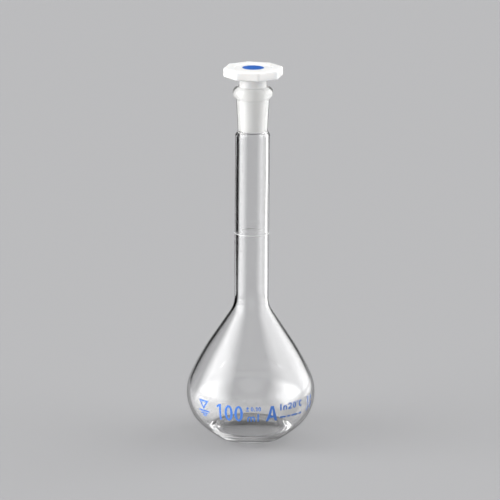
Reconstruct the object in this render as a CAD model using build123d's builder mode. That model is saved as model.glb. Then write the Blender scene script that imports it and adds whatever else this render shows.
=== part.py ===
from build123d import *
import os
from math import asin, atan2, cos, hypot, pi, radians, sin, sqrt

# Volumetric flask, 100 ml, with a ground socket NS 12/21 and a plastic stopper.
# Millimetres. Origin: centre of the foot, on the table. +Z up, along the neck; front is -Y.
# Turned profiles are drawn as (radius, height) on Plane.XZ. Arc angles are in radians,
# measured up from the horizontal.

os.makedirs("parts", exist_ok=True)

# ---------------------------------------------------------------- dimensions
# bulb, outside: tangent arcs from the foot up to the neck
bulb_radius = 30.08        # widest radius of the bulb
bulb_height = 21.24        # height of the widest point
belly_arc = 20.42          # radius of the arc through the widest point
low_arc = 60.0             # radius of the arc below the belly
heel_arc = 3.0             # small arc where the bulb turns on to the foot
shoulder_arc = 120.0       # long arc that runs up towards the neck
belly_low = -0.82          # angle at which belly arc and low arc meet
belly_high = 0.42          # angle at which belly arc and shoulder arc meet
cone_angle = 0.585         # slope of the short cone under the neck
neck_fillet = 11.6         # outside fillet between cone and neck

# glass thickness
bulb_wall = 0.798          # gives 100.0 ml up to the ring
base_wall = 5.4            # heavy glass in the pushed-up base
inner_low_arc = 15.0       # inner arc below the belly: the wall grows towards the foot
inner_corner = 2.5         # inner corner between wall and base
inner_neck_fillet = 16.0

# foot
foot_inner = 13.2          # inside of the flat ring the flask stands on
push_up = 1.4              # height of the pushed-up centre
foot_round = 0.8           # between the pushed-up sphere and the foot

# neck
neck_radius = 8.025
neck_bore = 6.5
neck_top = 144.0           # where the neck draws in under the socket
bore_top = 144.2           # where the bore draws in to the ground cone

# socket and beaded rim, outside
socket_foot = (6.93, 147.1)
socket_top = (7.62, 160.9)
bead_foot = (7.95, 161.95)
bead_widest = (9.35, 164.5)
rim_radius = 7.1           # outer edge of the flat rim
mouth = 167.4              # plane of the rim

# ground cone
ground_length = 21.0
ground_taper = 0.05        # radius per unit length, a taper of 1 in 10
ground_mouth = 6.25        # radius at the mouth, 12.5 mm across
bevel_width = 0.25         # bevel at the mouth of the cone
bevel_depth = 0.3

# enamel
enamel = 0.06              # thickness of the fired enamel
ring_height = 98.1
ring_width = 0.36
print_low = 14.9           # lowest line of the blue figures
print_high = 22.6
skin_low = -0.95           # angle on the low arc where the print skin starts
figure_distance = 24.0     # from the axis to the planes the figures are drawn on
figure_depth = 10.0        # how far the figures are extruded outwards

# stopper: plug and collar
plug_gap = 0.03            # room left round the plug
plug_bottom = 146.3
plug_round = 0.9           # rounded end of the plug
groove_bottoms = (151.0, 160.8)
groove_width = 1.0
groove_slope = 0.2         # height of each sloping side of a groove
groove_depth = 0.15
collar_radius = 6.2        # above the rim
collar_rise = 0.3          # height over which the plug widens or narrows to the collar
collar_round = 0.6         # between the collar and the underside of the plate

# stopper: eight-sided plate
head_sides = 8
head_low = 172.0
head_high = 176.35
head_corner = 14.1         # centre to corner of the plate
head_turn = 10.0           # degrees the plate is turned about Z
facet_hollow = 0.15        # how far each facet curves in
head_vertex = 2.2          # rounding of the upright corners
head_round = 0.75          # rounding of the top and bottom edges
dish_radius = 8.5
dish_slope = 0.4           # width of the sloping edge of the dish
dish_depth = 0.25
overlap = 1.0              # overrun of the collar into the plate, and of the cut above it

# stopper: hollow core
core_top = 4.1
core_bottom = 3.5
plug_floor = 1.5

# disc
disc_radius = 5.05
disc_recess = 5.08
disc_thick = 1.0
disc_round = 0.2
spigot_gap = 0.15
spigot_wall = 0.9
spigot_length = 2.2


# ---------------------------------------------------------------- helpers
def at(centre, radius, angle):
    """The point at an angle on a circle."""
    return (centre[0] + radius * cos(angle), centre[1] + radius * sin(angle))


def arc(centre, radius, start_angle, end_angle, start, end):
    """An arc between two known points, drawn through its middle."""
    ThreePointArc(start, at(centre, radius, (start_angle + end_angle) / 2), end)


def neck_blend(cone_start, radius, blend):
    """Top of the cone, and centre of the arc that blends it into a neck of this radius."""
    end_radius = radius + blend * (1 - cos(cone_angle))
    end_height = cone_start[1] + (cone_start[0] - end_radius) / sin(cone_angle) * cos(cone_angle)
    return (end_radius, end_height), (radius + blend, end_height + blend * sin(cone_angle))


def circles_at(piece, height, radius=None):
    """The circular edges at a height, all of them or those of one radius."""
    return piece.edges().filter_by(GeomType.CIRCLE).filter_by(
        lambda edge: abs(edge.center().Z - height) < 0.01
        and (radius is None or abs(edge.radius - radius) < 0.01))


# ---------------------------------------------------------------- bulb layout
# outside
belly_centre = (bulb_radius - belly_arc, bulb_height)
low_join = at(belly_centre, belly_arc, belly_low)
low_centre = at(low_join, -low_arc, belly_low)
heel_angle = asin((heel_arc - low_centre[1]) / (low_arc - heel_arc))
heel_centre = (low_centre[0] + (low_arc - heel_arc) * cos(heel_angle), heel_arc)
heel_foot = (heel_centre[0], 0.0)
heel_join = at(heel_centre, heel_arc, heel_angle)
high_join = at(belly_centre, belly_arc, belly_high)
shoulder_centre = at(high_join, -shoulder_arc, belly_high)
cone_join = at(shoulder_centre, shoulder_arc, cone_angle)
cone_end, blend_centre = neck_blend(cone_join, neck_radius, neck_fillet)
neck_start = (neck_radius, blend_centre[1])

# the same chain inside
belly_in = belly_arc - bulb_wall
shoulder_in = shoulder_arc - bulb_wall
high_join_in = at(belly_centre, belly_in, belly_high)
cone_join_in = at(shoulder_centre, shoulder_in, cone_angle)
cone_end_in, blend_centre_in = neck_blend(cone_join_in, neck_bore, inner_neck_fillet)
neck_start_in = (neck_bore, blend_centre_in[1])
low_join_in = at(belly_centre, belly_in, belly_low)
low_centre_in = at(low_join_in, -inner_low_arc, belly_low)

# pushed-up base: one sphere below, a parallel one inside
push_arc = (foot_inner ** 2 + push_up ** 2) / (2 * push_up)
push_centre = (0.0, push_up - push_arc)
base_in = push_arc + base_wall

# The inner corner touches the inner low arc from within and the base sphere from outside,
# so its centre is where two circles about their centres cross.
low_reach = inner_low_arc - inner_corner
base_reach = base_in + inner_corner
gap_r = -low_centre_in[0]
gap_z = push_centre[1] - low_centre_in[1]
span = hypot(gap_r, gap_z)
along = (low_reach ** 2 - base_reach ** 2 + span ** 2) / (2 * span)
across = sqrt(low_reach ** 2 - along ** 2)
corner_centre = (low_centre_in[0] + (along * gap_r - across * gap_z) / span,
                 low_centre_in[1] + (along * gap_z + across * gap_r) / span)
corner_high = atan2(corner_centre[1] - low_centre_in[1], corner_centre[0] - low_centre_in[0])
corner_base = atan2(corner_centre[1] - push_centre[1], corner_centre[0] - push_centre[0])
corner_join = at(low_centre_in, inner_low_arc, corner_high)
base_join = at(push_centre, base_in, corner_base)

# ---------------------------------------------------------------- flask
# One blown and fused piece: foot, bulb, neck, socket and beaded rim.
ground_foot = mouth - ground_length
ground_small = ground_mouth - ground_taper * ground_length
bevel_end = (ground_mouth - ground_taper * bevel_depth, mouth - bevel_depth)

with BuildPart() as flask_glass:
    with BuildSketch(Plane.XZ):
        with BuildLine():
            # outside, upwards
            Line((foot_inner, 0), heel_foot)
            arc(heel_centre, heel_arc, -pi / 2, heel_angle, heel_foot, heel_join)
            arc(low_centre, low_arc, heel_angle, belly_low, heel_join, low_join)
            arc(belly_centre, belly_arc, belly_low, belly_high, low_join, high_join)
            arc(shoulder_centre, shoulder_arc, belly_high, cone_angle, high_join, cone_join)
            Line(cone_join, cone_end)
            arc(blend_centre, neck_fillet, pi + cone_angle, pi, cone_end, neck_start)
            Line(neck_start, (neck_radius, neck_top))
            Bezier((neck_radius, neck_top), (neck_radius, neck_top + 1.5),
                   (6.86, socket_foot[1] - 1.4), socket_foot)
            Line(socket_foot, socket_top)
            Bezier(socket_top, (7.65, 161.5), (7.70, 161.7), bead_foot)
            ThreePointArc(bead_foot, bead_widest, (rim_radius, mouth))
            # over the rim and down the ground cone
            Line((rim_radius, mouth), (ground_mouth + bevel_width, mouth))
            Line((ground_mouth + bevel_width, mouth), bevel_end)
            Line(bevel_end, (ground_small, ground_foot))
            Bezier((ground_small, ground_foot), (ground_small - 0.02, ground_foot - 0.8),
                   (neck_bore, 145.5), (neck_bore, bore_top))
            Line((neck_bore, bore_top), neck_start_in)
            # inside of the bulb, downwards
            arc(blend_centre_in, inner_neck_fillet, pi, pi + cone_angle,
                neck_start_in, cone_end_in)
            Line(cone_end_in, cone_join_in)
            arc(shoulder_centre, shoulder_in, cone_angle, belly_high, cone_join_in, high_join_in)
            arc(belly_centre, belly_in, belly_high, belly_low, high_join_in, low_join_in)
            arc(low_centre_in, inner_low_arc, belly_low, corner_high, low_join_in, corner_join)
            arc(corner_centre, inner_corner, corner_high, corner_base - pi,
                corner_join, base_join)
            arc(push_centre, base_in, corner_base, pi / 2, base_join, (0, push_up + base_wall))
            # down the axis and out under the base
            Line((0, push_up + base_wall), (0, push_up))
            arc(push_centre, push_arc, pi / 2, asin(-push_centre[1] / push_arc),
                (0, push_up), (foot_inner, 0))
        make_face()
    revolve(axis=Axis.Z)
    fillet(circles_at(flask_glass, 0, foot_inner), foot_round)

# ---------------------------------------------------------------- ring on the neck
with BuildPart() as graduation_ring:
    with BuildSketch(Plane.XZ):
        with Locations((neck_radius + enamel / 2, ring_height)):
            Rectangle(enamel, ring_width)
    revolve(axis=Axis.Z)

# ---------------------------------------------------------------- print skin
# The space between the bulb and the outside of the enamel. It trims the figures.
skin_start = at(low_centre, low_arc, skin_low)
skin_start_out = at(low_centre, low_arc + enamel, skin_low)
low_join_out = at(belly_centre, belly_arc + enamel, belly_low)
high_join_out = at(belly_centre, belly_arc + enamel, belly_high)

with BuildPart() as print_skin:
    with BuildSketch(Plane.XZ):
        with BuildLine():
            arc(low_centre, low_arc, skin_low, belly_low, skin_start, low_join)
            arc(belly_centre, belly_arc, belly_low, belly_high, low_join, high_join)
            Line(high_join, high_join_out)
            arc(belly_centre, belly_arc + enamel, belly_high, belly_low,
                high_join_out, low_join_out)
            arc(low_centre, low_arc + enamel, belly_low, skin_low, low_join_out, skin_start_out)
            Line(skin_start_out, skin_start)
        make_face()
    revolve(axis=Axis.Z)


# ---------------------------------------------------------------- shapes of the figures
# Each is centred on its plane and added to the sketch that is open.
def oval_figure(width, height, stroke):
    """Figure 0, or a degree sign."""
    Ellipse(width / 2, height / 2)
    Ellipse(width / 2 - stroke, height / 2 - stroke * 0.85, mode=Mode.SUBTRACT)


def one_figure(width, height, stroke):
    right, top = width / 2, height / 2
    with Locations((right - stroke / 2, 0)):
        Rectangle(stroke, height)
    Polygon((right - stroke, top), (right - stroke, top - stroke * 1.15),
            (-right, top - stroke * 1.9), (-right, top - stroke), align=None)


def two_figure(width, height, stroke):
    radius = width / 2
    bow_height = height / 2 - radius
    foot = -height / 2
    drop = 0.75            # fall per unit of width of the line that ends the bow
    # bow: a ring with its lower part cut away
    with BuildSketch(mode=Mode.PRIVATE) as bow:
        with Locations((0, bow_height)):
            Circle(radius)
            Circle(radius - stroke, mode=Mode.SUBTRACT)
        Polygon((-width, bow_height), (0, bow_height), (width, bow_height - drop * width),
                (width, -height), (-width, -height), align=None, mode=Mode.SUBTRACT)
    add(bow.sketch)
    # slanting stroke and foot
    bow_end = atan2(-drop, 1.0)
    Polygon(at((0, bow_height), radius, bow_end), at((0, bow_height), radius - stroke, bow_end),
            (-radius, foot + stroke * 0.9), (-radius, foot),
            (-radius + stroke * 1.2, foot + stroke * 0.6), align=None)
    with Locations((0, foot + stroke / 2)):
        Rectangle(width, stroke)


def arched_letter(width, height, stroke, arches):
    """Letter n with one arch, m with two."""
    pitch = (width - stroke) / arches
    first_stem = -width / 2 + stroke / 2
    spring = height / 2 - pitch / 2 - stroke / 2
    for k in range(arches + 1):
        with Locations((first_stem + k * pitch, -pitch / 4)):
            Rectangle(stroke, height - pitch / 2)
    for k in range(arches):
        x = first_stem + (k + 0.5) * pitch
        with BuildSketch(mode=Mode.PRIVATE) as hump:
            with Locations((x, spring)):
                Circle(pitch / 2 + stroke / 2)
                Circle(pitch / 2 - stroke / 2, mode=Mode.SUBTRACT)
            with Locations((x, spring - pitch)):
                Rectangle(pitch * 2 + stroke, pitch * 2, mode=Mode.SUBTRACT)
        add(hump.sketch)


def a_letter(width, height, stroke):
    top, foot = height / 2, -height / 2
    tip = stroke / 2 + 0.1
    leg = width / 2 - stroke * 1.05      # inner side of a leg at the foot
    bar_low = leg - 0.55                 # inner side at the underside of the crossbar
    bar_high = leg - 0.9                 # and at its top
    Polygon((-width / 2, foot), (-tip, top), (tip, top), (width / 2, foot),
            (leg, foot), (bar_low, foot + height * 0.22),
            (-bar_low, foot + height * 0.22), (-leg, foot), align=None)
    Polygon((-bar_high, foot + height * 0.36), (0, top - height * 0.17),
            (bar_high, foot + height * 0.36), align=None, mode=Mode.SUBTRACT)


def c_letter(width, height, stroke):
    Ellipse(width / 2, height / 2)
    Ellipse(width / 2 - stroke, height / 2 - stroke, mode=Mode.SUBTRACT)
    Polygon((0, 0), (width, height * 0.55), (width, -height * 0.55),
            align=None, mode=Mode.SUBTRACT)


def plus_minus(width, height, stroke):
    with Locations((0, height / 2 - width / 2)):
        Rectangle(width, stroke)
        Rectangle(stroke, width)
    with Locations((0, -height / 2 + stroke / 2)):
        Rectangle(width, stroke)


def level_sign():
    """An open triangle, point down, above three lines that get shorter downwards."""
    Polygon((-2.9, 3.6), (2.9, 3.6), (0, -0.6), align=None)
    Polygon((-1.75, 2.95), (1.75, 2.95), (0, 0.45), align=None, mode=Mode.SUBTRACT)
    for y, width in ((-1.25, 6.4), (-2.35, 4.2), (-3.45, 2.0)):
        with Locations((0, y)):
            Rectangle(width, 0.55)


# ---------------------------------------------------------------- blue figures
def figure_plane(angle, height):
    """Plane that faces out of the bulb, degrees from the front, positive towards +X."""
    turn = radians(angle)
    out = Vector(sin(turn), -cos(turn), 0)
    return Plane(origin=out * figure_distance + Vector(0, 0, height),
                 x_dir=(cos(turn), sin(turn), 0), z_dir=out)


def build_print(figures):
    """Extrude figures outwards through the bulb surface and keep what lies in the skin."""
    with BuildPart() as enamel_print:
        for angle, height, draw, sizes in figures:
            with BuildSketch(figure_plane(angle, height)):
                draw(*sizes)
            extrude(amount=figure_depth)
        add(print_skin.part, mode=Mode.INTERSECT)
    return enamel_print


print_mid = (print_low + print_high) / 2
print_tall = print_high - print_low
small_mid = 21.2           # middle height of the tolerance figures
temperature_mid = 21.3     # middle height of the temperature figures

# Figure tables: angle, height of the centre, shape, its sizes (width, height, stroke).

# "100 ml"
capacity_print = build_print((
    (-29.3, print_mid, one_figure, (2.3, print_tall, 1.0)),
    (-19.8, print_mid, oval_figure, (4.0, print_tall, 1.15)),
    (-10.6, print_mid, oval_figure, (4.0, print_tall, 1.15)),
    (0.7, 16.3, arched_letter, (3.6, 2.6, 0.62, 2)),
    (7.0, 16.9, Rectangle, (0.7, 3.8)),
))

# class letter "A" and the tolerance in small figures
class_print = build_print((
    (19.6, print_mid - 0.1, a_letter, (5.6, print_tall - 0.3, 1.2)),
    (-2.6, small_mid, plus_minus, (1.25, 1.95, 0.30)),
    (1.4, small_mid, oval_figure, (1.15, 1.9, 0.32)),
    (3.6, 20.45, Rectangle, (0.36, 0.36)),
    (5.2, small_mid, one_figure, (0.75, 1.9, 0.32)),
    (8.0, small_mid, oval_figure, (1.15, 1.9, 0.32)),
))

# "In 20 °C", the temperature the volume is true at
temperature_print = build_print((
    (27.9, temperature_mid, Rectangle, (0.55, 3.0)),
    (32.3, 20.9, arched_letter, (1.9, 2.2, 0.5, 1)),
    (37.6, temperature_mid, two_figure, (1.9, 3.0, 0.5)),
    (42.3, temperature_mid, oval_figure, (1.9, 3.0, 0.5)),
    (45.7, 22.5, oval_figure, (0.95, 0.95, 0.26)),
    (49.8, temperature_mid, c_letter, (2.1, 3.0, 0.5)),
))

# liquid-level sign
level_print = build_print(((-46.5, 18.9, level_sign, ()),))

# ---------------------------------------------------------------- stopper
# A hollow moulding: eight-sided plate, collar and a plug that fits the ground cone.
plug_mouth = ground_mouth - plug_gap
side_angle = 360 / head_sides
facet_middle = head_corner * cos(radians(side_angle / 2)) - facet_hollow
dish_floor = head_high - dish_depth
disc_seat = dish_floor - disc_thick
core_floor = plug_bottom + plug_floor
cut_top = head_high + overlap


def plug_point(height, depth=0.0):
    """A point on the plug's side, or sunk below it."""
    return (plug_mouth + ground_taper * (height - mouth) - depth, height)


def groove(bottom):
    """Outline of a shallow groove round the plug, upwards."""
    top = bottom + groove_width
    return (plug_point(bottom), plug_point(bottom + groove_slope, groove_depth),
            plug_point(top - groove_slope, groove_depth), plug_point(top))


def head_point(radius, side):
    """A point of the plate, counted in sides round from the first corner."""
    return at((0, 0), radius, radians(head_turn + side_angle * side))


with BuildPart() as stopper:
    with BuildSketch(Plane.XY.offset(head_low)):
        with BuildLine():
            for k in range(head_sides):
                ThreePointArc(head_point(head_corner, k), head_point(facet_middle, k + 0.5),
                              head_point(head_corner, k + 1))
        plate = make_face()
        fillet(plate.vertices(), head_vertex)
    extrude(amount=head_high - head_low)
    fillet(stopper.faces().sort_by(Axis.Z)[-1].edges(), head_round)
    fillet(stopper.faces().sort_by(Axis.Z)[0].edges(), head_round)
    # collar and plug, with two shallow grooves that mark the ends of the sealing zone
    with BuildSketch(Plane.XZ):
        with BuildLine():
            Polyline((0, plug_bottom), plug_point(plug_bottom),
                     *groove(groove_bottoms[0]), *groove(groove_bottoms[1]),
                     (plug_mouth, mouth), (collar_radius, mouth + collar_rise),
                     (collar_radius, head_low), (collar_radius, head_low + overlap),
                     (0, head_low + overlap), (0, plug_bottom), close=True)
        make_face()
    revolve(axis=Axis.Z)
    fillet(circles_at(stopper, plug_bottom), plug_round)
    # collar runs softly into the underside of the plate
    fillet(circles_at(stopper, head_low, collar_radius), collar_round)
    # shallow dish in the plate, the seat for the disc, and the hollow core
    with BuildSketch(Plane.XZ):
        with BuildLine():
            Polyline((0, cut_top), (dish_radius + dish_slope, cut_top),
                     (dish_radius + dish_slope, head_high), (dish_radius, dish_floor),
                     (disc_recess, dish_floor), (disc_recess, disc_seat),
                     (core_top, disc_seat), (core_bottom, core_floor), (0, core_floor),
                     (0, cut_top), close=True)
        make_face()
    revolve(axis=Axis.Z, mode=Mode.SUBTRACT)

# ---------------------------------------------------------------- disc
# Snap-in disc with a short open spigot that centres it in the hollow core.
spigot_radius = core_top - spigot_gap

with BuildPart() as stopper_disc:
    with BuildSketch(Plane.XY.offset(disc_seat)):
        Circle(disc_radius)
    extrude(amount=disc_thick)
    fillet(stopper_disc.faces().sort_by(Axis.Z)[-1].edges(), disc_round)
    with BuildSketch(Plane.XY.offset(disc_seat)):
        Circle(spigot_radius)
        Circle(spigot_radius - spigot_wall, mode=Mode.SUBTRACT)
    extrude(amount=-spigot_length)

# ---------------------------------------------------------------- files
pieces = {
    "flask_glass": flask_glass,
    "graduation_ring": graduation_ring,
    "capacity_print": capacity_print,
    "class_print": class_print,
    "temperature_print": temperature_print,
    "level_print": level_print,
    "stopper": stopper,
    "stopper_disc": stopper_disc,
}
for name, piece in pieces.items():
    piece.part.label = name
    export_step(piece.part, "parts/" + name + ".step")
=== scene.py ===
# A small glass volumetric flask with a ground socket, a white ring mark round the neck, blue
# enamel figures on the bulb, and a plastic stopper with a blue disc.
# The flask stands upright on z = 0 with its axis on Z; the camera looks from the front, -Y,
# so +X is on the right.  Product sizes are in millimetres, the stage is in metres.
from math import asin, atan2, cos, hypot, pi, radians, sin, sqrt, tan

import bpy
import bmesh
from mathutils import Matrix, Vector, noise
from mathutils.geometry import delaunay_2d_cdt


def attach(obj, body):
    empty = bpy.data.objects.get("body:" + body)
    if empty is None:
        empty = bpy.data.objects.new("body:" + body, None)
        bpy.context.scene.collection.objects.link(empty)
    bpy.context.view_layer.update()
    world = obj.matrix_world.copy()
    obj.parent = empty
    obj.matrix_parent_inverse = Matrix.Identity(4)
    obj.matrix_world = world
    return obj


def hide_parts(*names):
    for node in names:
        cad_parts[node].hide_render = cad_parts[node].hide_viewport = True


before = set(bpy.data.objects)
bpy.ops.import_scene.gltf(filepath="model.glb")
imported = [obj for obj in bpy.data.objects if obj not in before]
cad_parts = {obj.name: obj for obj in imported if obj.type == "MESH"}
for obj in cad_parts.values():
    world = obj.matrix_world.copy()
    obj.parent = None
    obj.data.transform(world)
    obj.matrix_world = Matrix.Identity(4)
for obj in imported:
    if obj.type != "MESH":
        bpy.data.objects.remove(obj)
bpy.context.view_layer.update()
scene = bpy.context.scene
MM = 0.001
SEGMENTS = 192  # round the axis

# ------------------------------------------------------------------ sizes of the glass (mm, rad)
# The outside and the inside are chains of tangent arcs, as in the CAD flask.
bulb_radius, bulb_height = 30.08, 21.24
belly_arc, low_arc, heel_arc, shoulder_arc = 20.42, 60.0, 3.0, 120.0
belly_low, belly_high, cone_angle = -0.82, 0.42, 0.585
neck_fillet, inner_neck_fillet = 11.6, 16.0
bulb_wall, base_wall = 0.798, 5.4
inner_low_arc, inner_corner = 15.0, 2.5
foot_inner, push_up, foot_fillet = 13.2, 1.4, 0.8
neck_radius, neck_bore = 8.025, 6.5
neck_top, bore_top = 144.0, 144.2
socket_foot, socket_foot_radius = 147.1, 6.93
socket_top, bead_foot = (7.62, 160.9), (7.95, 161.95)
bead_radius, bead_height = 9.35, 164.5
mouth, lip_radius = 167.4, 7.1
ground_length, ground_taper, ground_mouth = 21.0, 0.05, 6.25
mouth_bevel_width, mouth_bevel_depth = 0.25, 0.3

# the inside is a little out of round
wobble_size, wobble_top = 0.05, 140.0
wobble_fade_radius = 6.0  # it fades to nothing from here to the axis

# where the surface finish changes
ground_margin_low, ground_margin_high, ground_margin_out = 0.2, 0.4, 0.05
rim_from = 161.2

ring_height, ring_width, ring_thickness = 98.1, 0.36, 0.06
ring_clearance = 0.003


# ------------------------------------------------------------------ curves of (radius, z) points
def at(centre, radius, angle):
    return (centre[0] + radius * cos(angle), centre[1] + radius * sin(angle))


def arc(centre, radius, start, end, step):
    count = max(2, int(abs(end - start) * radius / step + 0.5))
    return [at(centre, radius, start + (end - start) * i / count) for i in range(count + 1)]


def line(start, end, step):
    run, rise = end[0] - start[0], end[1] - start[1]
    count = max(1, int(hypot(run, rise) / step + 0.5))
    return [(start[0] + run * i / count, start[1] + rise * i / count) for i in range(count + 1)]


def bezier(start, start_handle, end_handle, end, count):
    points = []
    for i in range(count + 1):
        t = i / count
        u = 1 - t
        points.append(tuple(
            u ** 3 * a + 3 * u * u * t * b + 3 * u * t * t * c + t ** 3 * d
            for a, b, c, d in zip(start, start_handle, end_handle, end)))
    return points


def arc_through(start, middle, end, count):
    """The anticlockwise arc from start through middle to end."""
    (ax, ay), (bx, by), (cx, cy) = start, middle, end
    a_square, b_square, c_square = ax * ax + ay * ay, bx * bx + by * by, cx * cx + cy * cy
    scale = 2 * (ax * (by - cy) + bx * (cy - ay) + cx * (ay - by))
    x = (a_square * (by - cy) + b_square * (cy - ay) + c_square * (ay - by)) / scale
    y = (a_square * (cx - bx) + b_square * (ax - cx) + c_square * (bx - ax)) / scale
    radius = hypot(ax - x, ay - y)
    first, last = atan2(ay - y, ax - x), atan2(cy - y, cx - x)
    return [at((x, y), radius, first + (last - first) * i / count) for i in range(count + 1)]


def join(*parts):
    """One list of points, without the doubles where parts meet."""
    points = []
    for part in parts:
        for p in part:
            if not points or hypot(p[0] - points[-1][0], p[1] - points[-1][1]) > 1e-5:
                points.append(p)
    return points


# ------------------------------------------------------------------ tangent points of the glass
def cone_to_neck(cone_join, radius, fillet):
    """Top end of the cone, and the centre of the fillet that leads from it into the neck."""
    end_radius = radius + fillet * (1 - cos(cone_angle))
    end = (end_radius, cone_join[1] + (cone_join[0] - end_radius) / tan(cone_angle))
    return end, (radius + fillet, end[1] + fillet * sin(cone_angle))


# outside
belly_centre = (bulb_radius - belly_arc, bulb_height)
low_join = at(belly_centre, belly_arc, belly_low)
low_centre = at(low_join, -low_arc, belly_low)
heel_angle = asin((heel_arc - low_centre[1]) / (low_arc - heel_arc))
heel_centre = (low_centre[0] + (low_arc - heel_arc) * cos(heel_angle), heel_arc)
high_join = at(belly_centre, belly_arc, belly_high)
shoulder_centre = at(high_join, -shoulder_arc, belly_high)
cone_join = at(shoulder_centre, shoulder_arc, cone_angle)
cone_end, fillet_centre = cone_to_neck(cone_join, neck_radius, neck_fillet)

# inside
belly_in, shoulder_in = belly_arc - bulb_wall, shoulder_arc - bulb_wall
cone_join_in = at(shoulder_centre, shoulder_in, cone_angle)
cone_end_in, fillet_centre_in = cone_to_neck(cone_join_in, neck_bore, inner_neck_fillet)
low_join_in = at(belly_centre, belly_in, belly_low)
low_centre_in = at(low_join_in, -inner_low_arc, belly_low)

# the push-up under the base is part of a sphere, and the floor inside is concentric with it
push_arc = (foot_inner ** 2 + push_up ** 2) / (2 * push_up)
push_centre = (0.0, push_up - push_arc)
base_in = push_arc + base_wall

# the inner corner touches both the low arc and the floor: its centre is where two circles meet
from_low, from_push = inner_low_arc - inner_corner, base_in + inner_corner
gap_r, gap_z = -low_centre_in[0], push_centre[1] - low_centre_in[1]
gap = hypot(gap_r, gap_z)
along = (from_low ** 2 - from_push ** 2 + gap ** 2) / (2 * gap)
aside = sqrt(from_low ** 2 - along ** 2)
corner_centre = (low_centre_in[0] + (along * gap_r - aside * gap_z) / gap,
                 low_centre_in[1] + (along * gap_z + aside * gap_r) / gap)
corner_high = atan2(corner_centre[1] - low_centre_in[1], corner_centre[0] - low_centre_in[0])
corner_base = atan2(corner_centre[1] - push_centre[1], corner_centre[0] - push_centre[0])

# rounding between the push-up and the flat of the foot
foot_rise = foot_fillet - push_centre[1]
foot_round_radius = sqrt((push_arc + foot_fillet) ** 2 - foot_rise ** 2)
foot_round_centre = (foot_round_radius, foot_fillet)
push_edge = atan2(foot_rise, foot_round_radius)
foot_round_start = atan2(-foot_rise, -foot_round_radius) + 2 * pi

ground_foot = mouth - ground_length
ground_small = ground_mouth - ground_taper * ground_length
bevel_foot = (ground_mouth - ground_taper * mouth_bevel_depth, mouth - mouth_bevel_depth)
bevel_top = (ground_mouth + mouth_bevel_width, mouth)

# From the axis under the base, up the outside to the mouth, and down the inside to the axis.
# The last number of an arc or line is its step in mm, that of the others a count of pieces.
outer = join(
    arc(push_centre, push_arc, pi / 2, push_edge, 0.6),
    arc(foot_round_centre, foot_fillet, foot_round_start, 1.5 * pi, 0.12),
    line((foot_round_radius, 0.0), (heel_centre[0], 0.0), 0.4),
    arc(heel_centre, heel_arc, -pi / 2, heel_angle, 0.2),
    arc(low_centre, low_arc, heel_angle, belly_low, 0.55),
    arc(belly_centre, belly_arc, belly_low, belly_high, 0.6),
    arc(shoulder_centre, shoulder_arc, belly_high, cone_angle, 0.9),
    line(cone_join, cone_end, 1.2),
    arc(fillet_centre, neck_fillet, pi + cone_angle, pi, 0.5),
    line((neck_radius, fillet_centre[1]), (neck_radius, neck_top), 2.6),
    bezier((neck_radius, neck_top), (neck_radius, neck_top + 1.5),
           (6.86, socket_foot - 1.4), (socket_foot_radius, socket_foot), 14),
    line((socket_foot_radius, socket_foot), socket_top, 1.5),
    bezier(socket_top, (7.65, 161.5), (7.70, 161.7), bead_foot, 8),
    arc_through(bead_foot, (bead_radius, bead_height), (lip_radius, mouth), 26),
    line((lip_radius, mouth), bevel_top, 0.3),
)
inner = join(
    line(bevel_top, bevel_foot, 0.1),
    line(bevel_foot, (ground_small, ground_foot), 0.8),
    bezier((ground_small, ground_foot), (ground_small - 0.02, ground_foot - 0.8),
           (neck_bore, 145.5), (neck_bore, bore_top), 16),
    line((neck_bore, bore_top), (neck_bore, fillet_centre_in[1]), 2.6),
    arc(fillet_centre_in, inner_neck_fillet, pi, pi + cone_angle, 0.6),
    line(cone_end_in, cone_join_in, 1.2),
    arc(shoulder_centre, shoulder_in, cone_angle, belly_high, 0.9),
    arc(belly_centre, belly_in, belly_high, belly_low, 0.6),
    arc(low_centre_in, inner_low_arc, belly_low, corner_high, 0.55),
    arc(corner_centre, inner_corner, corner_high, corner_base - pi, 0.3),
    arc(push_centre, base_in, corner_base, pi / 2, 0.6),
)


# ------------------------------------------------------------------ mesh helpers
def new_object(name, verts, faces, smooth=True):
    mesh = bpy.data.meshes.new(name)
    mesh.from_pydata(verts, [], faces)
    mesh.validate()
    mesh.update()
    made = bpy.data.objects.new(name, mesh)
    scene.collection.objects.link(made)
    if smooth:
        for polygon in mesh.polygons:
            polygon.use_smooth = True
    return made


def circle(radius, z, uneven=None):
    """Points in metres round the axis."""
    points = []
    for s in range(SEGMENTS):
        angle = 2 * pi * s / SEGMENTS
        local = radius + (uneven(angle, radius, z) if uneven else 0.0)
        points.append((local * cos(angle) * MM, local * sin(angle) * MM, z * MM))
    return points


def bridge(row, following):
    """Faces between two rows of point numbers, either of which may be one point on the axis."""
    faces = []
    for s in range(SEGMENTS):
        t = (s + 1) % SEGMENTS
        if len(row) == 1:
            faces.append((row[0], following[t], following[s]))
        elif len(following) == 1:
            faces.append((row[s], row[t], following[0]))
        else:
            faces.append((row[s], row[t], following[t], following[s]))
    return faces


def tell_frame(piece, replaced):
    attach(piece, "flask")
    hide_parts(replaced)


# ------------------------------------------------------------------ shader helpers
def feed(tree, socket, value):
    """Sets an input to a value, or links it to a socket or to a node's first output."""
    if isinstance(value, bpy.types.Node):
        value = value.outputs[0]
    if isinstance(value, bpy.types.NodeSocket):
        tree.links.new(value, socket)
    else:
        socket.default_value = value


def node(tree, kind, inputs=None, **settings):
    made = tree.nodes.new("ShaderNode" + kind)
    for key, value in settings.items():
        setattr(made, key, value)
    for key, value in (inputs or {}).items():
        feed(tree, made.inputs[key], value)
    return made


def calc(tree, operation, *operands, clamp=False):
    return node(tree, "Math", dict(enumerate(operands)), operation=operation, use_clamp=clamp)


def mix_shader(tree, share, first, second):
    return node(tree, "MixShader", {0: share, 1: first, 2: second})


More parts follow.
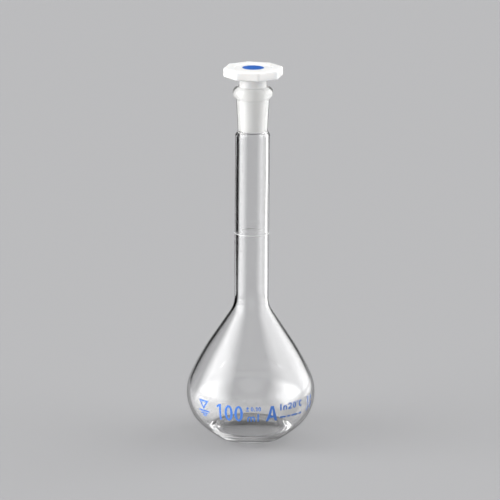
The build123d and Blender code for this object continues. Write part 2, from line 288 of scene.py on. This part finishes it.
def noise_texture(tree, place, scale, detail=2.0):
    return node(tree, "TexNoise", {"Vector": place, "Scale": scale, "Detail": detail})


def bump(tree, height, strength, distance):
    return node(tree, "Bump", {"Height": height, "Strength": strength, "Distance": distance})


def map_range(tree, value, to_min, to_max, from_min=0.0, interpolation="LINEAR"):
    return node(tree, "MapRange",
                {"Value": value, "From Min": from_min, "To Min": to_min, "To Max": to_max},
                interpolation_type=interpolation)


def object_place(tree):
    return node(tree, "TexCoord").outputs["Object"]


def new_material(name):
    made = bpy.data.materials.new(name)
    made.use_nodes = True
    made.node_tree.nodes.clear()
    return made, made.node_tree


# ------------------------------------------------------------------ glass materials
# scale and detail of the noise, strength and distance (m) of the bump
drawn_waves = dict(scale=55, detail=1.5, strength=0.02, distance=0.00012)
ground_grain = dict(scale=9000, detail=3, strength=0.5, distance=0.00002)


def fracture_skin(tree, place, surface, share):
    """Scatters part of the light white, half of it back and half of it onward."""
    white = node(tree, "BsdfDiffuse", {"Color": (0.93, 0.93, 0.92, 1)})
    onward = node(tree, "BsdfTranslucent", {"Color": (0.95, 0.95, 0.94, 1)})
    patches = noise_texture(tree, place, scale=700, detail=4)
    return mix_shader(tree, map_range(tree, patches, *share), surface,
                      mix_shader(tree, 0.5, white, onward))


def glass_material(name, roughness, relief, painted_edge_shade=-0.6, skin_share=None):
    """painted_edge_shade is the painted edge shade, the glass colour fully edge on; skin_share
    the range of white scatter.
    """
    made, tree = new_material(name)
    place = object_place(tree)
    height = noise_texture(tree, place, relief["scale"], relief["detail"])
    glass_bsdf = node(tree, "BsdfPrincipled", {
        "Base Color": (1, 1, 1, 1), "Roughness": roughness, "IOR": 1.473,
        "Transmission Weight": 1.0,
        "Normal": bump(tree, height, relief["strength"], relief["distance"])})
    # painted shade: the glass colour goes dark along the edges, where the wall is seen edge on,
    # to draw dark outlines
    edge = node(tree, "LayerWeight", {"Blend": 0.5}).outputs["Facing"]
    tint = map_range(tree, edge, to_min=1.0, to_max=painted_edge_shade, from_min=0.62,
                     interpolation="SMOOTHSTEP")
    feed(tree, glass_bsdf.inputs["Base Color"], calc(tree, "MAXIMUM", tint, 0.0))
    # clear to shadow and diffuse rays, a little darker where the wall is seen edge on
    facing = node(tree, "LayerWeight", {"Blend": 0.25}).outputs["Facing"]
    clear = node(tree, "BsdfTransparent",
                 {"Color": map_range(tree, facing, to_min=0.97, to_max=0.55)})
    path = node(tree, "LightPath").outputs
    soft_ray = calc(tree, "MAXIMUM", path["Is Shadow Ray"], path["Is Diffuse Ray"])
    surface = mix_shader(tree, soft_ray, glass_bsdf, clear)
    if skin_share:
        surface = fracture_skin(tree, place, surface, skin_share)
    node(tree, "OutputMaterial", {"Surface": surface})
    return made


# ------------------------------------------------------------------ enamel and plastic
def enamel_relief(tree, place):
    return bump(tree, noise_texture(tree, place, scale=5000), strength=0.35, distance=0.00001)


def plastic_relief(tree, place):
    """Fine texture of the mould, with a slower unevenness three times as high under it."""
    fine = noise_texture(tree, place, scale=2200)
    slow = noise_texture(tree, place, scale=300)
    height = calc(tree, "MULTIPLY_ADD", slow, 3.0, fine)
    return bump(tree, height, strength=0.3, distance=0.00002)


def mottled_material(name, low, high, roughness, mottle, relief, extra=None):
    """Colour from low to high and roughness over its range, both following one noise.

    mottle is the scale and detail of that noise, extra holds more inputs of the surface.
    """
    made, tree = new_material(name)
    place = object_place(tree)
    patches = noise_texture(tree, place, *mottle)
    # inputs 6 and 7 and output 2 are the colour sockets of the mix node
    colour = node(tree, "Mix", {0: patches, 6: (*low, 1), 7: (*high, 1)},
                  data_type="RGBA").outputs[2]
    surface = node(tree, "BsdfPrincipled", {
        "Base Color": colour, "Roughness": map_range(tree, patches, *roughness),
        "Normal": relief(tree, place), **(extra or {})})
    node(tree, "OutputMaterial", {"Surface": surface})
    return made


def enamel_material(name, low, high, roughness):
    return mottled_material(name, low, high, roughness, (1400, 4), enamel_relief)


def plastic_material(name, low, high, roughness, subsurface, depth_mm):
    return mottled_material(name, low, high, roughness, (160, 5), plastic_relief, {
        "Subsurface Weight": subsurface, "Subsurface Scale": depth_mm * MM,
        "Subsurface Radius": (1.0, 0.95, 0.9), "IOR": 1.5})


# the clear and the ground glass get the painted edge shade, the rim glass none
clear_glass = glass_material("borosilicate_glass", roughness=0.0, relief=drawn_waves)
ground_glass = glass_material("ground_glass", roughness=0.42, relief=ground_grain,
                              skin_share=(0.62, 0.86))
rim_glass = glass_material("rim_glass", roughness=0.03, relief=drawn_waves, painted_edge_shade=1.0,
                           skin_share=(0.16, 0.256))
blue_enamel = enamel_material("blue_enamel", low=(0.05, 0.15, 0.50), high=(0.075, 0.21, 0.60),
                              roughness=(0.14, 0.28))
white_enamel = enamel_material("white_enamel", low=(0.86, 0.87, 0.87), high=(0.95, 0.95, 0.94),
                               roughness=(0.19, 0.33))
white_plastic = plastic_material(
    "white_polyethylene", low=(0.87, 0.87, 0.86), high=(0.93, 0.93, 0.925),
    roughness=(0.31, 0.46), subsurface=0.7, depth_mm=1.8)
blue_plastic = plastic_material(
    "blue_plastic", low=(0.03, 0.13, 0.50), high=(0.05, 0.17, 0.60),
    roughness=(0.29, 0.44), subsurface=0.1, depth_mm=0.4)


# ------------------------------------------------------------------ glass
def inner_wobble(angle, r, z):
    """Blown glass: the inside isn't quite round, by a few hundredths of a millimetre."""
    sample = (cos(angle) * 1.3 + 4.0, sin(angle) * 1.3 - 2.0, z * 0.05)
    return wobble_size * noise.noise(sample) * min(1.0, r / wobble_fade_radius)


def build_glass():
    verts, faces, rows = [], [], []
    for k, (r, z) in enumerate(join(outer, inner)):
        if r < 1e-6:
            points = [(0.0, 0.0, z * MM)]
        else:
            is_uneven = k >= len(outer) and z <= wobble_top
            points = circle(r, z, inner_wobble if is_uneven else None)
        rows.append(range(len(verts), len(verts) + len(points)))
        verts += points
    for row, following in zip(rows, rows[1:]):
        faces += bridge(row, following)
    vessel = new_object("flask_vessel", verts, faces)
    for finish in (clear_glass, ground_glass, rim_glass):
        vessel.data.materials.append(finish)
    for polygon in vessel.data.polygons:
        r = hypot(polygon.center.x, polygon.center.y) / MM
        z = polygon.center.z / MM
        if (ground_foot + ground_margin_low < z < mouth - ground_margin_high
                and r < ground_mouth + ground_margin_out):
            polygon.material_index = 1
        elif z > rim_from:
            polygon.material_index = 2
    tell_frame(vessel, "flask_glass")
    return vessel


glass = build_glass()


# ------------------------------------------------------------------ white ring round the neck
def build_ring():
    seat, half = neck_radius + ring_clearance, ring_width / 2
    section = [(seat, ring_height - half)]
    for i in range(9):
        across = -1 + 2 * i / 8
        section.append((seat + ring_thickness * (1 - 0.7 * abs(across) ** 3),
                        ring_height + across * (half - 0.02)))
    section.append((seat, ring_height + half))
    verts, faces = [], []
    for r, z in section:
        verts += circle(r, z)
    rows = [range(k * SEGMENTS, (k + 1) * SEGMENTS) for k in range(len(section))]
    for row, following in zip(rows, rows[1:] + rows[:1]):
        faces += bridge(row, following)
    ring = new_object("ring_mark", verts, faces)
    ring.data.materials.append(white_enamel)
    tell_frame(ring, "graduation_ring")


build_ring()


# ------------------------------------------------------------------ outlines of the figures (mm)
# Each figure is a list of (outline, holes), centred on its own origin.
def oval(x, y, radius_x, radius_y, count=40, start=0.0, end=2 * pi):
    closed = abs(end - start - 2 * pi) < 1e-9
    angles = [start + (end - start) * i / count for i in range(count if closed else count + 1)]
    return [(x + radius_x * cos(angle), y + radius_y * sin(angle)) for angle in angles]


def arch(x, y, radius, count):
    """Half circle over the top, from left to right."""
    return oval(x, y, radius, radius, count, pi, 0)


def rectangle(x, y, width, height):
    left, right = x - width / 2, x + width / 2
    low, high = y - height / 2, y + height / 2
    return [(left, low), (right, low), (right, high), (left, high)]


def bar(width, height):
    return [(rectangle(0, 0, width, height), [])]


def zero(width, height, stroke):
    hole = oval(0, 0, width / 2 - stroke, height / 2 - stroke * 0.85)
    return [(oval(0, 0, width / 2, height / 2), [hole])]


def one(width, height, stroke):
    right, top = width / 2, height / 2
    stem = right - stroke
    return [([(stem, -top), (right, -top), (right, top), (stem, top), (-right, top - stroke),
              (-right, top - stroke * 1.9), (stem, top - stroke * 1.15)], [])]


def letter_m(width, height, stroke):
    right, foot, half = width / 2, -height / 2, stroke / 2
    middle = (width - stroke) / 2 / 2  # of each arch
    spring = height / 2 - middle - half
    wide, narrow = middle + half, middle - half
    points = [(-right, foot), (-right + stroke, foot), (-right + stroke, spring)]
    points += arch(-middle, spring, narrow, 14)[1:-1]
    points += [(-half, spring), (-half, foot), (half, foot), (half, spring)]
    points += arch(middle, spring, narrow, 14)[1:-1]
    points += [(right - stroke, spring), (right - stroke, foot), (right, foot), (right, spring)]
    # back over the top, with one point where the arches cross
    right_top = oval(middle, spring, wide, wide, 20, 0, pi)
    left_top = oval(-middle, spring, wide, wide, 20, 0, pi)
    points += [p for p in right_top[1:] if p[0] > 0.02]
    points += [(0.0, spring + sqrt(wide * wide - middle ** 2))]
    points += [p for p in left_top if p[0] < -0.02]
    return [(points, [])]


def letter_n(width, height, stroke):
    right, foot, half = width / 2, -height / 2, stroke / 2
    middle = (width - stroke) / 2
    spring = height / 2 - middle - half
    wide, narrow = middle + half, middle - half
    points = [(-right, foot), (-right + stroke, foot), (-right + stroke, spring)]
    points += arch(0, spring, narrow, 14)[1:-1]
    points += [(right - stroke, spring), (right - stroke, foot), (right, foot), (right, spring)]
    points += oval(0, spring, wide, wide, 20, 0, pi)[1:]
    return [(points, [])]


def letter_a(width, height, stroke):
    right, top = width / 2, height / 2
    leg = right - stroke * 1.05
    bar_low, bar_high = -top + height * 0.22, -top + height * 0.36
    outline = [(-right, -top), (-leg, -top), (-leg + 0.55, bar_low), (leg - 0.55, bar_low),
               (leg, -top), (right, -top), (stroke / 2 + 0.1, top), (-stroke / 2 - 0.1, top)]
    hole = [(-leg + 0.9, bar_high), (leg - 0.9, bar_high), (0, top - height * 0.17)]
    return [(outline, [hole])]


def two(width, height, stroke):
    radius, foot = width / 2, -height / 2
    centre = height / 2 - radius
    end = atan2(-0.75, 1.0)
    points = oval(0, centre, radius, radius, 26, pi, end)
    points += [(-radius + stroke * 1.5, foot + stroke), (radius, foot + stroke),
               (radius, foot), (-radius, foot), (-radius, foot + stroke * 0.9)]
    points += oval(0, centre, radius - stroke, radius - stroke, 22, end, pi)
    return [(points, [])]


def letter_c(width, height, stroke):
    start = atan2(0.55 * height, width) * 1.15
    end = 2 * pi - start
    points = oval(0, 0, width / 2, height / 2, 34, start, end)
    points += oval(0, 0, width / 2 - stroke, height / 2 - stroke, 30, end, start)
    return [(points, [])]


def plus_minus(width, height, stroke):
    arm, half = width / 2, stroke / 2
    y = height / 2 - arm
    plus = [(-arm, y - half), (-half, y - half), (-half, y - arm), (half, y - arm),
            (half, y - half), (arm, y - half), (arm, y + half), (half, y + half),
            (half, y + arm), (-half, y + arm), (-half, y + half), (-arm, y + half)]
    return [(plus, []), (rectangle(0, -height / 2 + half, width, stroke), [])]


def triangle_on_lines():
    """An open triangle, point down, over three bars that get shorter downwards."""
    triangle = ([(-3.1, 3.9), (0, -0.6), (3.1, 3.9)], [[(-1.7, 3.1), (0, 0.65), (1.7, 3.1)]])
    return [triangle] + [(rectangle(0, y, width, 0.7), [])
                         for y, width in ((-1.3, 6.8), (-2.5, 4.5), (-3.7, 2.2))]


# ------------------------------------------------------------------ flat figures to raised enamel
outline_step, fill_step = 0.3, 0.36
outline_clearance_square = 0.03  # no fill point is nearer to the outline
print_under, print_thickness, rim_share = 0.004, 0.06, 0.62


def sides(loop):
    return zip(loop, loop[1:] + loop[:1])


def inside(point, loop):
    x, y = point
    odd = False
    for (x0, y0), (x1, y1) in sides(loop):
        if (y0 > y) != (y1 > y) and x < (x1 - x0) * (y - y0) / (y1 - y0) + x0:
            odd = not odd
    return odd


def inside_shape(point, loops):
    """Inside the first loop, the outline, and in none of the others, the holes."""
    return inside(point, loops[0]) and not any(inside(point, hole) for hole in loops[1:])


def refine(loop):
    points = []
    for (x0, y0), (x1, y1) in sides(loop):
        count = max(1, int(hypot(x1 - x0, y1 - y0) / outline_step + 0.999))
        points += [(x0 + (x1 - x0) * i / count, y0 + (y1 - y0) * i / count)
                   for i in range(count)]
    return points


def fill_points(loops, outline_points):
    """Staggered grid of points inside the shape."""
    xs, ys = zip(*loops[0])
    points = []
    row, y = 0, min(ys) + fill_step / 2
    while y < max(ys):
        x = min(xs) + fill_step * (0.5 if row % 2 else 1.0)
        while x < max(xs):
            if inside_shape((x, y), loops) and min(
                    (x - p[0]) ** 2 + (y - p[1]) ** 2
                    for p in outline_points) > outline_clearance_square:
                points.append(Vector((x, y)))
            x += fill_step
        y += fill_step * 0.87
        row += 1
    return points


def triangulate(loops):
    """Points, triangles and border edges of a flat shape."""
    points, edges = [], []
    for loop in loops:
        base = len(points)
        points += [Vector(p) for p in loop]
        edges += [(base + i, base + (i + 1) % len(loop)) for i in range(len(loop))]
    points += fill_points(loops, points)
    points, _, found, _, _, _ = delaunay_2d_cdt(points, edges, [], 0, 1e-5)
    triangles, uses = [], {}
    for face in found:
        if inside_shape(sum((points[i] for i in face), Vector((0, 0))) / len(face), loops):
            triangles.append(tuple(face))
    for face in triangles:
        for i in range(len(face)):
            edge = (face[i], face[(i + 1) % len(face)])
            uses.setdefault(tuple(sorted(edge)), []).append(edge)
    return points, triangles, [found[0] for found in uses.values() if len(found) == 1]


def wrap(point, angle, height, lift):
    """A flat point laid on the belly arc of the bulb and lifted off it."""
    z = height + point[1]
    slope = asin((z - belly_centre[1]) / belly_arc)
    surface = belly_centre[0] + belly_arc * cos(slope)
    turn = radians(angle) + point[0] / surface
    r = surface + lift * cos(slope)
    return (r * sin(turn) * MM, -r * cos(turn) * MM, (z + lift * sin(slope)) * MM)


def add_figure(shapes, angle, height, verts, faces):
    for outline, holes in shapes:
        points, triangles, border = triangulate([refine(loop) for loop in [outline] + holes])
        border_points = {i for edge in border for i in edge}
        under = len(verts)
        top = under + len(points)
        verts += [wrap(p, angle, height, print_under) for p in points]
        for i, p in enumerate(points):
            share = rim_share if i in border_points else 1.0
            verts.append(wrap(p, angle, height, print_thickness * share))
        for face in triangles:
            faces.append(tuple(under + i for i in reversed(face)))
            faces.append(tuple(top + i for i in face))
        for i, j in border:
            faces.append((under + i, under + j, top + j, top + i))


def build_print(name, replaced, figures):
    verts, faces = [], []
    for shapes, angle, height in figures:
        add_figure(shapes, angle, height, verts, faces)
    # only the points that a face uses
    used = sorted({i for face in faces for i in face})
    index = {old: new for new, old in enumerate(used)}
    made = new_object(name, [verts[i] for i in used],
                      [tuple(index[i] for i in face) for face in faces], smooth=False)
    made.data.materials.append(blue_enamel)
    tell_frame(made, replaced)
    return made


# ------------------------------------------------------------------ blue figures on the bulb
print_low, print_high = 14.9, 22.6
print_mid, print_tall = (print_low + print_high) / 2, print_high - print_low
big_zero = zero(4.0, print_tall, 1.15)
tolerance_zero = zero(1.3, 2.05, 0.42)

# figure (width, height, stroke in mm), degrees from the front towards +X, height of its centre
capacity = (
    (one(2.3, print_tall, 1.0), -29.3, print_mid),
    (big_zero, -19.8, print_mid),
    (big_zero, -10.6, print_mid),
    (letter_m(3.6, 2.6, 0.62), 0.7, 16.3),
    (bar(0.7, 3.8), 7.0, 16.9),
)
class_and_tolerance = (
    (letter_a(5.6, print_tall - 0.3, 1.2), 19.6, print_mid - 0.1),
    (plus_minus(1.35, 2.1, 0.40), -2.6, 21.2),
    (tolerance_zero, 1.4, 21.2),
    (bar(0.45, 0.45), 3.6, 20.4),
    (one(0.9, 2.05, 0.44), 5.3, 21.2),
    (tolerance_zero, 8.1, 21.2),
)
temperature = (
    (bar(0.72, 3.1), 27.9, 21.3),
    (letter_n(2.1, 2.3, 0.68), 32.3, 20.9),
    (two(2.1, 3.1, 0.66), 37.6, 21.3),
    (zero(2.1, 3.1, 0.66), 42.6, 21.3),
    (zero(1.05, 1.05, 0.32), 46.2, 22.5),
    (letter_c(2.2, 3.1, 0.66), 50.4, 21.3),
    (bar(3.2, 0.8), 30.6, 16.3),
    (bar(1.5, 0.8), 37.0, 16.3),
    (bar(3.6, 0.8), 43.8, 16.3),
    (bar(1.8, 0.8), 51.2, 16.3),
    (bar(0.8, 2.6), 62.5, 17.4),
    (bar(0.8, 3.6), 62.5, 21.4),
    (bar(0.8, 3.6), 68.0, 18.4),
    (bar(0.8, 2.0), 68.0, 22.0),
)
level_sign = ((triangle_on_lines(), -46.5, 18.9),)

prints = [
    build_print("capacity_figures", "capacity_print", capacity),
    build_print("class_letter_and_tolerance", "class_print", class_and_tolerance),
    build_print("temperature_figures", "temperature_print", temperature),
    build_print("level_sign", "level_print", level_sign),
]

# ------------------------------------------------------------------ stopper: CAD shapes, finished
stopper_parts = []
for part, finish in (("stopper", white_plastic), ("stopper_disc", blue_plastic)):
    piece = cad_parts[part]
    piece.data.materials.clear()
    piece.data.materials.append(finish)
    stopper_parts.append(piece)

# ------------------------------------------------------------------ stage: soft boxes (degrees)
# Azimuth is 0 towards the camera and +90 to the right.  Each box has its full strength between
# the two middle numbers and fades out to the outer ones.
left_box = {"azimuth": (-115, -95, -70, -35), "elevation": (-90, -80, 35, 60), "strength": 6.0}
right_box = {"azimuth": (45, 80, 125, 155), "elevation": (-90, -80, 45, 70), "strength": 3.5}
top_box = {"azimuth": (-400, -300, 300, 400), "elevation": (50, 65, 80, 130), "strength": 0.7}
boxes = (left_box, right_box, top_box)

# rays within the smaller angle of the view axis count as straight on, outside the larger not
straight_from, straight_to = cos(radians(26)), cos(radians(17))
backdrop_colour = (0.5, 0.5, 0.51, 1)
floor_tone = 0.5


def fade(value, low_out, low_full, high_full, high_out):
    return max(0.0, min(1.0, (value - low_out) / (low_full - low_out),
                        (high_out - value) / (high_out - high_full)))


def light_on_level():
    """Light of the boxes on a level surface, relative to a white of 1."""
    total = 0.0
    for i in range(90):
        elevation = i + 0.5
        for k in range(120):
            azimuth = -180 + (k + 0.5) * 3
            light = sum(box["strength"] * fade(azimuth, *box["azimuth"])
                        * fade(elevation, *box["elevation"]) for box in boxes)
            total += (light * sin(radians(elevation)) * cos(radians(elevation))
                      * radians(1) * radians(3) / pi)
    return total


def fade_nodes(tree, value, low_out, low_full, high_full, high_out):
    """The same as fade, in nodes."""
    up = calc(tree, "DIVIDE", calc(tree, "SUBTRACT", value, low_out), low_full - low_out)
    down = calc(tree, "DIVIDE", calc(tree, "SUBTRACT", high_out, value), high_out - high_full)
    return calc(tree, "MINIMUM", up, down, clamp=True)


def azimuth_nodes(tree, x, y):
    return calc(tree, "DEGREES", calc(tree, "ARCTAN2", x, calc(tree, "MULTIPLY", y, -1.0)))


def straight_on(tree, camera_direction, path):
    """1 for transmission rays that run almost along the view axis."""
    z = node(tree, "SeparateXYZ", {0: camera_direction}).outputs["Z"]
    past = calc(tree, "SUBTRACT", calc(tree, "ABSOLUTE", z), straight_from)
    share = calc(tree, "DIVIDE", past, straight_to - straight_from, clamp=True)
    return calc(tree, "MULTIPLY", share, path["Is Transmission Ray"])


def build_world():
    world = bpy.data.worlds.new("studio")
    scene.world = world
    world.use_nodes = True
    tree = world.node_tree
    tree.nodes.clear()
    place = node(tree, "TexCoord").outputs
    direction = node(tree, "SeparateXYZ", {0: place["Generated"]}).outputs
    azimuth = azimuth_nodes(tree, direction["X"], direction["Y"])
    elevation = calc(tree, "DEGREES", calc(tree, "ARCSINE", direction["Z"]))
    light = 0.0
    for box in boxes:
        shape = calc(tree, "MULTIPLY", fade_nodes(tree, azimuth, *box["azimuth"]),
                     fade_nodes(tree, elevation, *box["elevation"]))
        light = calc(tree, "MULTIPLY_ADD", shape, box["strength"], light)
    studio = node(tree, "Background", {"Color": (1, 1, 1, 1), "Strength": light})
    # the camera, and whatever goes almost straight on through the glass, sees a plain backdrop
    plain = node(tree, "Background", {"Color": backdrop_colour})
    path = node(tree, "LightPath").outputs
    unit = node(tree, "VectorMath", {0: place["Camera"]}, operation="NORMALIZE")
    sees_plain = calc(tree, "MAXIMUM", path["Is Camera Ray"], straight_on(tree, unit, path))
    node(tree, "OutputWorld", {"Surface": mix_shader(tree, sees_plain, studio, plain)})


build_world()


# ------------------------------------------------------------------ stage: fill lights
def fill_light(name, size, energy, location, aim, group, receivers):
    """A square area light that only the receivers get, and that is never seen itself."""
    data = bpy.data.lights.new(name, "AREA")
    data.shape = "RECTANGLE"
    data.size, data.size_y = size, size
    data.energy = energy
    light = bpy.data.objects.new(name, data)
    scene.collection.objects.link(light)
    light.location = location
    light.rotation_mode = "QUATERNION"
    light.rotation_quaternion = (Vector(aim) - Vector(location)).to_track_quat("-Z", "Y")
    light.visible_camera = light.visible_glossy = light.visible_transmission = False
    lit = bpy.data.collections.new(group)
    for receiver in receivers:
        lit.objects.link(receiver)
    light.light_linking.receiver_collection = lit


# a large one over the camera side for the stopper and the glass, a small one low on the left
# for the printed figures
front_size, front_level = 0.9, 1.15
fill_light("front_fill", size=front_size, energy=front_size * front_size * pi * front_level,
           location=(-0.1, -1.0, 0.62), aim=(0, 0, 0.16),
           group="lit_by_fill", receivers=stopper_parts + [glass])
fill_light("print_fill", size=0.35, energy=4.2,
           location=(-0.50, -0.42, 0.16), aim=(-0.01, 0, 0.02),
           group="prints", receivers=prints)


# ------------------------------------------------------------------ stage: floor
def painted_floor_light_nodes(tree, x, y):
    """Painted light on the floor as the glass sees it, a glow under each side box, and where it
    is so.
    """
    # beside the flask, from a line that leans with y, and in front of it
    edge_x = calc(tree, "MULTIPLY_ADD", y, 0.07, 0.125)
    beyond_x = calc(tree, "SUBTRACT", calc(tree, "ABSOLUTE", x), edge_x)
    beside = calc(tree, "DIVIDE", beyond_x, 0.03, clamp=True)
    in_front = calc(tree, "DIVIDE", calc(tree, "SUBTRACT", -0.12, y), 0.04, clamp=True)
    azimuth = azimuth_nodes(tree, x, y)
    painted_light = 0.0
    for box, strength in ((left_box, 2.6), (right_box, 2.0)):
        shape = fade_nodes(tree, azimuth, *box["azimuth"])
        painted_light = calc(tree, "MULTIPLY_ADD", shape, strength, painted_light)
    # painted light: an emission standing in for the light the side boxes would throw on the floor
    lit = node(tree, "Emission", {"Color": (1, 1, 1, 1), "Strength": painted_light})
    return lit, calc(tree, "MAXIMUM", beside, in_front)


def floor_material():
    made, tree = new_material("floor_paper")
    geometry = node(tree, "NewGeometry").outputs
    position = node(tree, "SeparateXYZ", {0: geometry["Position"]}).outputs
    # plain pale paper of one tone, with a faint grain
    grain = noise_texture(tree, geometry["Position"], scale=900)
    tone = calc(tree, "MULTIPLY", calc(tree, "MULTIPLY_ADD", grain, 0.02, 0.99),
                floor_tone / light_on_level())
    tint = node(tree, "VectorMath", {0: (1.0, 1.0, 1.02), "Scale": tone}, operation="SCALE")
    paper = node(tree, "BsdfDiffuse", {"Color": tint})
    lit, mask = painted_floor_light_nodes(tree, position["X"], position["Y"])
    path = node(tree, "LightPath").outputs
    by_glass = calc(tree, "MAXIMUM", path["Is Glossy Ray"], path["Is Transmission Ray"])
    incoming = node(tree, "VectorTransform", {0: geometry["Incoming"]},
                    vector_type="VECTOR", convert_from="WORLD", convert_to="CAMERA")
    not_straight = calc(tree, "SUBTRACT", 1.0, straight_on(tree, incoming, path))
    # the painted light on the floor is seen only by rays coming from the glass
    share = calc(tree, "MULTIPLY", calc(tree, "MULTIPLY", mask, by_glass), not_straight)
    node(tree, "OutputMaterial", {"Surface": mix_shader(tree, share, paper, lit)})
    made.cycles.emission_sampling = "NONE"
    return made


def build_floor():
    mesh = bpy.data.meshes.new("floor")
    grid = bmesh.new()
    bmesh.ops.create_grid(grid, x_segments=8, y_segments=8, size=6.0)
    grid.to_mesh(mesh)
    grid.free()
    floor = bpy.data.objects.new("floor", mesh)
    floor.location.z = -0.00005  # just clear of the foot
    scene.collection.objects.link(floor)
    mesh.materials.append(floor_material())


build_floor()


# ------------------------------------------------------------------ camera
def build_camera(eye, aim, roll):
    data = bpy.data.cameras.new("camera")
    camera = bpy.data.objects.new("camera", data)
    scene.collection.objects.link(camera)
    scene.camera = camera
    data.sensor_width = 36.0
    data.lens = 251.28
    data.shift_x, data.shift_y = -0.0035, -0.003
    data.clip_start, data.clip_end = 0.05, 50
    camera.location = eye
    camera.rotation_mode = "QUATERNION"
    look = (aim - eye).to_track_quat("-Z", "Y")
    camera.rotation_quaternion = look @ Matrix.Rotation(roll, 3, "Z").to_quaternion()


build_camera(eye=Vector((0, -1.575, 0.490)), aim=Vector((0, 0, 0.09028)), roll=radians(0.44))

# ------------------------------------------------------------------ colour and light paths
scene.view_settings.view_transform = "Standard"
scene.view_settings.look = "None"
cycles = scene.cycles
cycles.use_denoising = True
cycles.max_bounces = 24
cycles.transmission_bounces = 20
cycles.glossy_bounces = 8
cycles.transparent_max_bounces = 24
cycles.diffuse_bounces = 3
cycles.caustics_reflective = False
cycles.caustics_refractive = False
